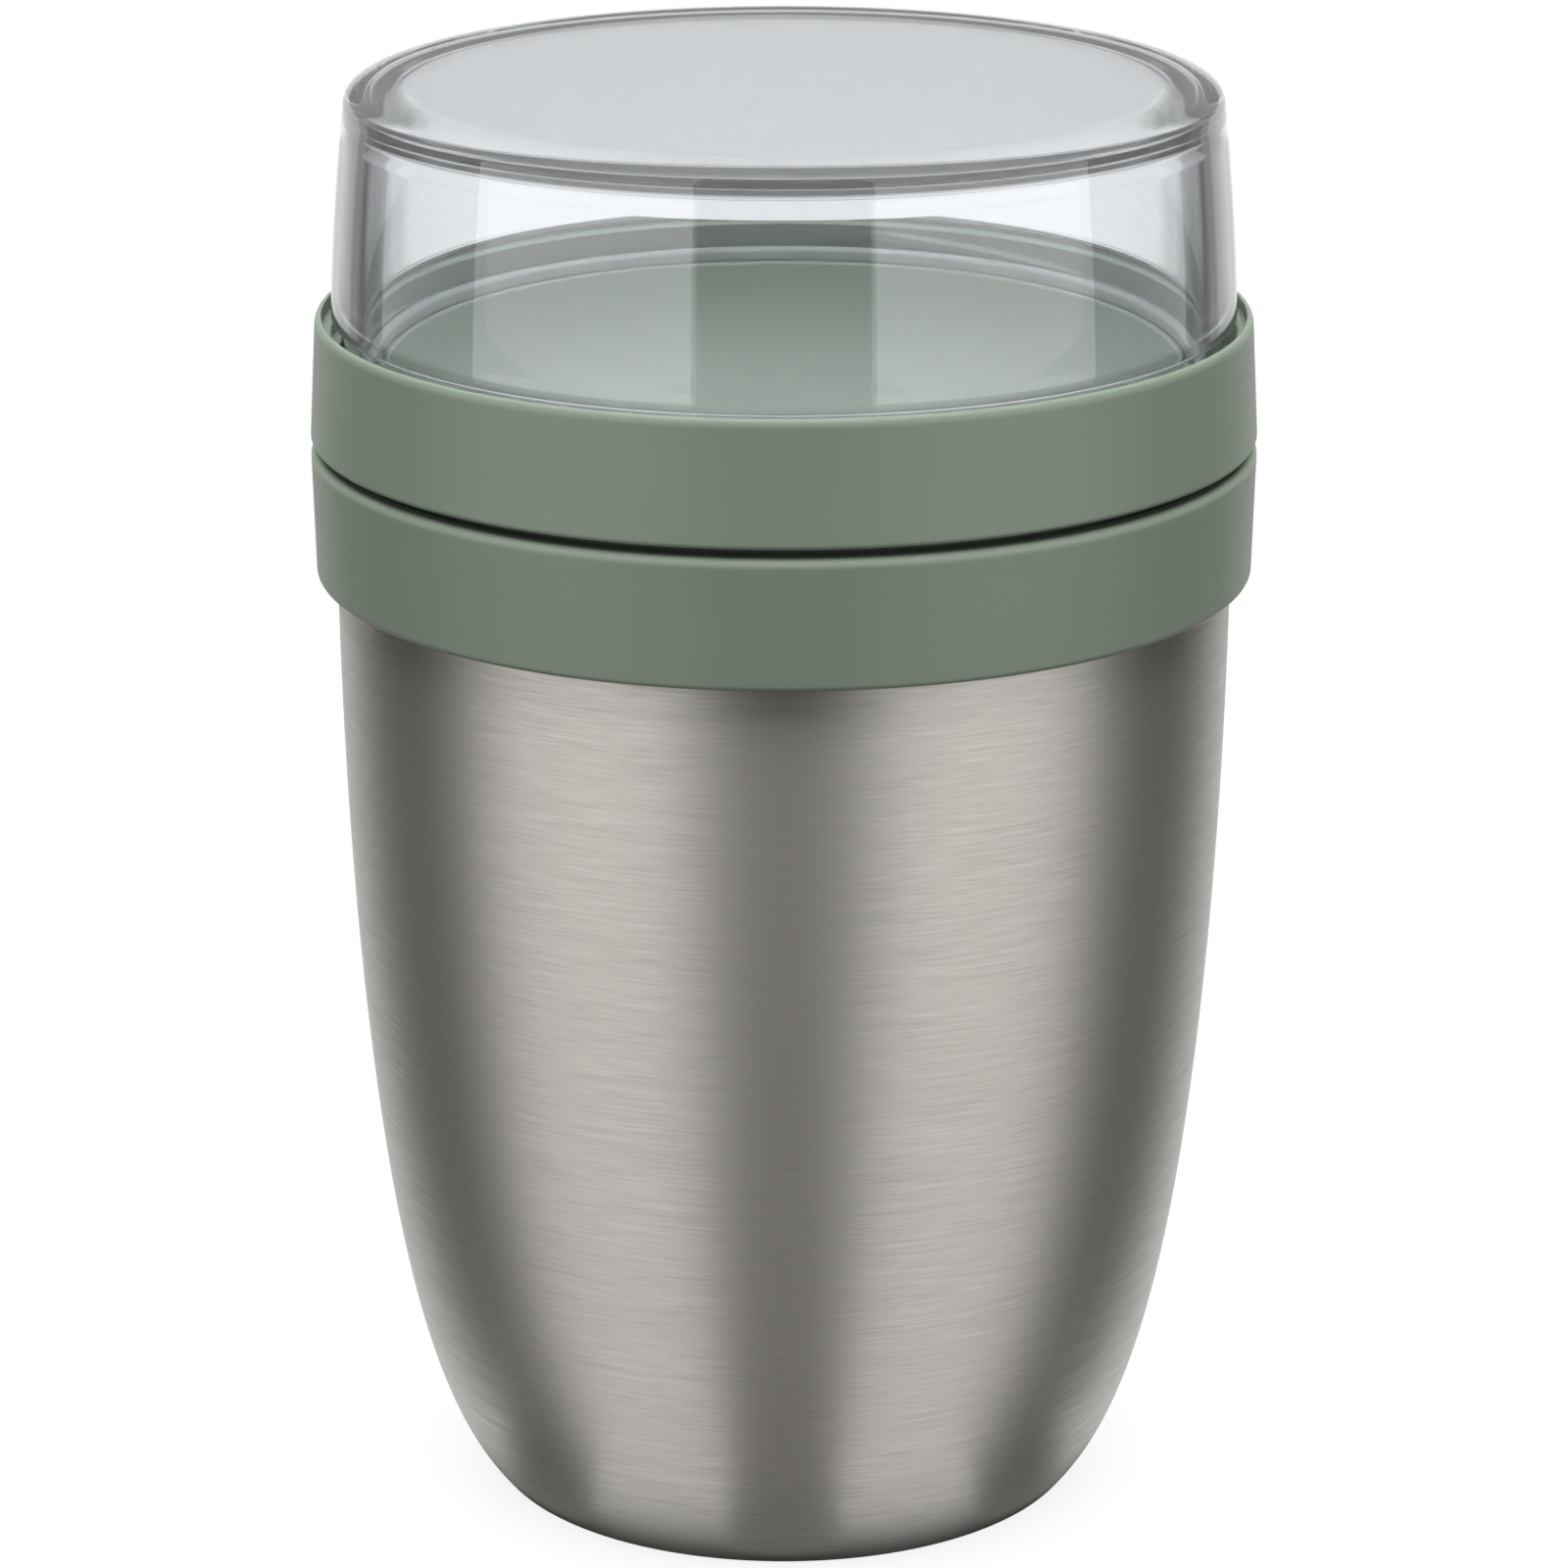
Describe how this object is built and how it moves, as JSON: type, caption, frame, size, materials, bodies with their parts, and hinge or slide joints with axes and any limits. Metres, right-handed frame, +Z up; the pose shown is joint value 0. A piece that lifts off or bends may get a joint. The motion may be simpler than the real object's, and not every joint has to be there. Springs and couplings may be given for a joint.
{
  "type": "insulated lunch pot",
  "caption": "Tapered vacuum-walled steel lunch pot with a green threaded collar, a screw-in cup as its stopper and a clear screw lid.",
  "frame": {"origin": "centre of the base, on the surface that the pot stands on", "axes": "+Z up along the pot's axis, -Y towards the front"},
  "size_m": [0.107, 0.107, 0.1652],
  "materials": {
    "shell_steel": "brushed round the body",
    "liner_steel": "electropolished, satin",
    "green_plastic": "fine matte moulded",
    "clear_plastic": "clear, polished",
    "silicone": "smooth, satin",
    "foam": "foamed",
    "getter_metal": "sintered",
    "seal_glass": "fused bead"
  },
  "bodies": {
    "vessel": {"outer_shell": "shell_steel", "base_plate": "shell_steel", "vacuum_seal": "seal_glass", "inner_liner": "liner_steel", "getter_pellet": "getter_metal", "neck_collar": "green_plastic", "collar_seal": "silicone"},
    "cup_seal": {"cup_gasket": "silicone"},
    "cup": {"cup_bowl": "green_plastic", "plug_shell": "green_plastic", "plug_foam": "foam"},
    "lid_seal": {"lid_gasket": "silicone"},
    "lid": {"clear_lid": "clear_plastic"}
  },
  "joints": [
    {"name": "cup_rise", "type": "slide", "parent": "vessel", "child": "cup_seal", "axis": [0, 0, 1], "range_m": [0, 0.04801]},
    {"name": "cup_turn", "type": "hinge", "parent": "cup_seal", "child": "cup", "pos_m": [0, 0, 0.1247], "axis": [0, 0, 1], "range_deg": [0, 720]},
    {"name": "lid_rise", "type": "slide", "parent": "cup", "child": "lid_seal", "axis": [0, 0, 1], "range_m": [0, 0.03601]},
    {"name": "lid_turn", "type": "hinge", "parent": "lid_seal", "child": "lid", "pos_m": [0, 0, 0.1387], "axis": [0, 0, 1], "range_deg": [0, 720]}
  ],
  "couplings": [
    {"joint": "cup_rise", "follows": "cup_turn", "m_per_rad": 0.0038197},
    {"joint": "lid_rise", "follows": "lid_turn", "m_per_rad": 0.0028648}
  ]
}
